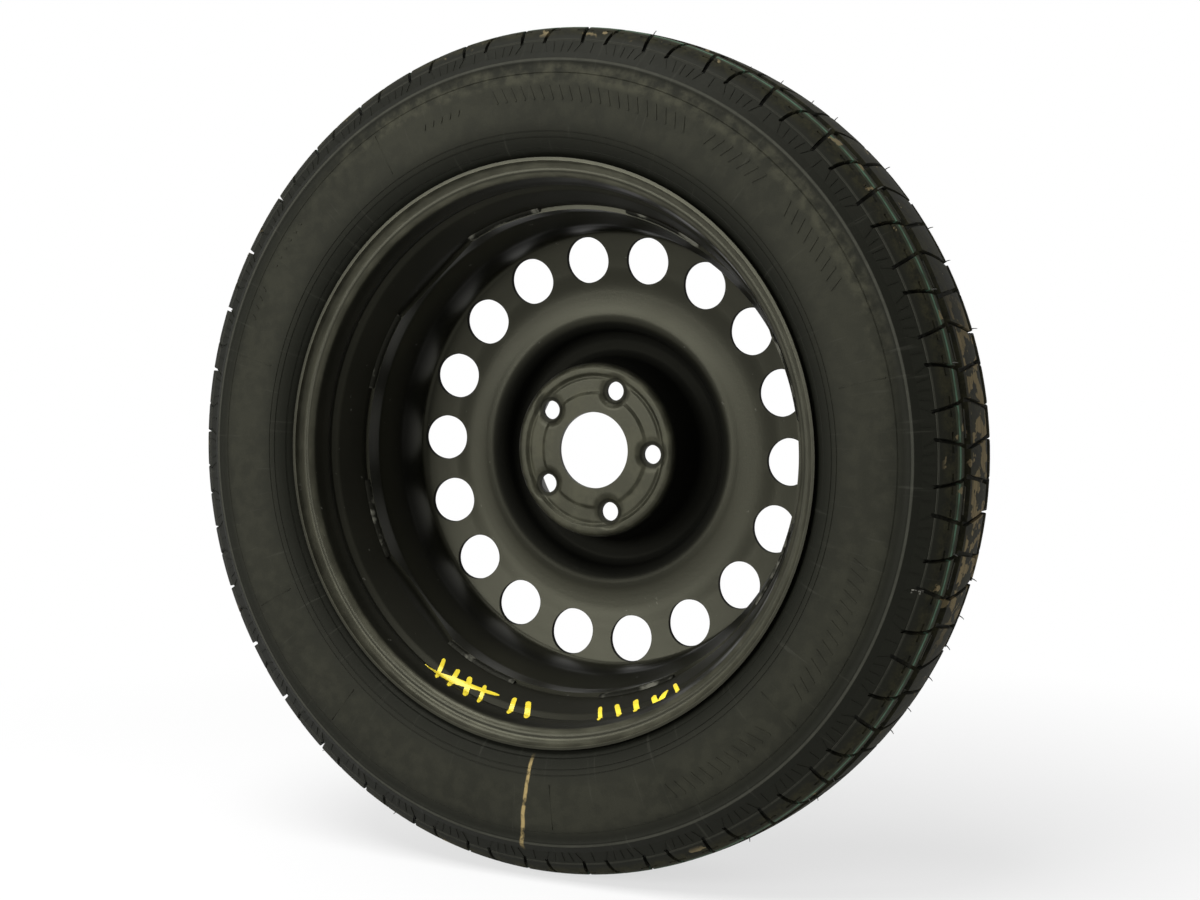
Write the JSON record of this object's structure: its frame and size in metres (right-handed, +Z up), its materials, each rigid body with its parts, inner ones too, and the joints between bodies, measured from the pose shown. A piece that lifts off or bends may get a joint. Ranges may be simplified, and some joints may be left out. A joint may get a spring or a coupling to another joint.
{
  "type": "space saver spare wheel",
  "caption": "Narrow temporary-use spare wheel: pressed steel disc with a ring of round vents, rolled steel rim and a treaded tubeless tyre with a snap-in valve.",
  "frame": {"origin": "centre of the flat hub face, on the wheel's axis", "axes": "+Y along the wheel's axis towards the outboard side of the car, +Z up, the inboard side faces -Y"},
  "size_m": [0.6866, 0.1661, 0.6866],
  "materials": {
    "tyre_rubber": "moulded rubber, dusty satin sidewall",
    "rim_steel": "semi-gloss black electrocoat",
    "disc_steel": "semi-gloss black electrocoat",
    "weld_steel": "painted weld bead with pale scuffs",
    "valve_rubber": "matt black rubber",
    "valve_brass": "turned brass",
    "valve_seal": "white sealing plastic",
    "valve_spring": "fine spring wire",
    "valve_cap_plastic": "black moulded plastic",
    "cap_rubber": "matt black rubber"
  },
  "bodies": {
    "wheel": {"tyre": "tyre_rubber", "rim_band": "rim_steel", "wheel_disc": "disc_steel", "weld_bead_1": "weld_steel", "weld_bead_2": "weld_steel", "weld_bead_3": "weld_steel", "weld_bead_4": "weld_steel", "weld_bead_5": "weld_steel", "weld_bead_6": "weld_steel", "weld_bead_7": "weld_steel", "weld_bead_8": "weld_steel", "valve_stem": "valve_rubber", "valve_sleeve": "valve_brass", "valve_core_barrel": "valve_brass", "valve_core_seal": "valve_seal", "valve_core_spring": "valve_spring"},
    "core_pin": {"valve_core_pin": "valve_brass"},
    "cap": {"valve_cap": "valve_cap_plastic", "valve_cap_seal": "cap_rubber"}
  },
  "joints": [
    {"name": "valve_cap_off", "type": "slide", "parent": "wheel", "child": "cap", "axis": [0, 0.9135, -0.4067], "range_m": [0, 0.009]},
    {"name": "valve_pin_press", "type": "slide", "parent": "wheel", "child": "core_pin", "axis": [0, -0.9135, 0.4067], "range_m": [0, 0.0012], "stiffness_N_per_m": 900, "springref_m": -0.001, "deforming": ["valve_core_spring"]}
  ]
}
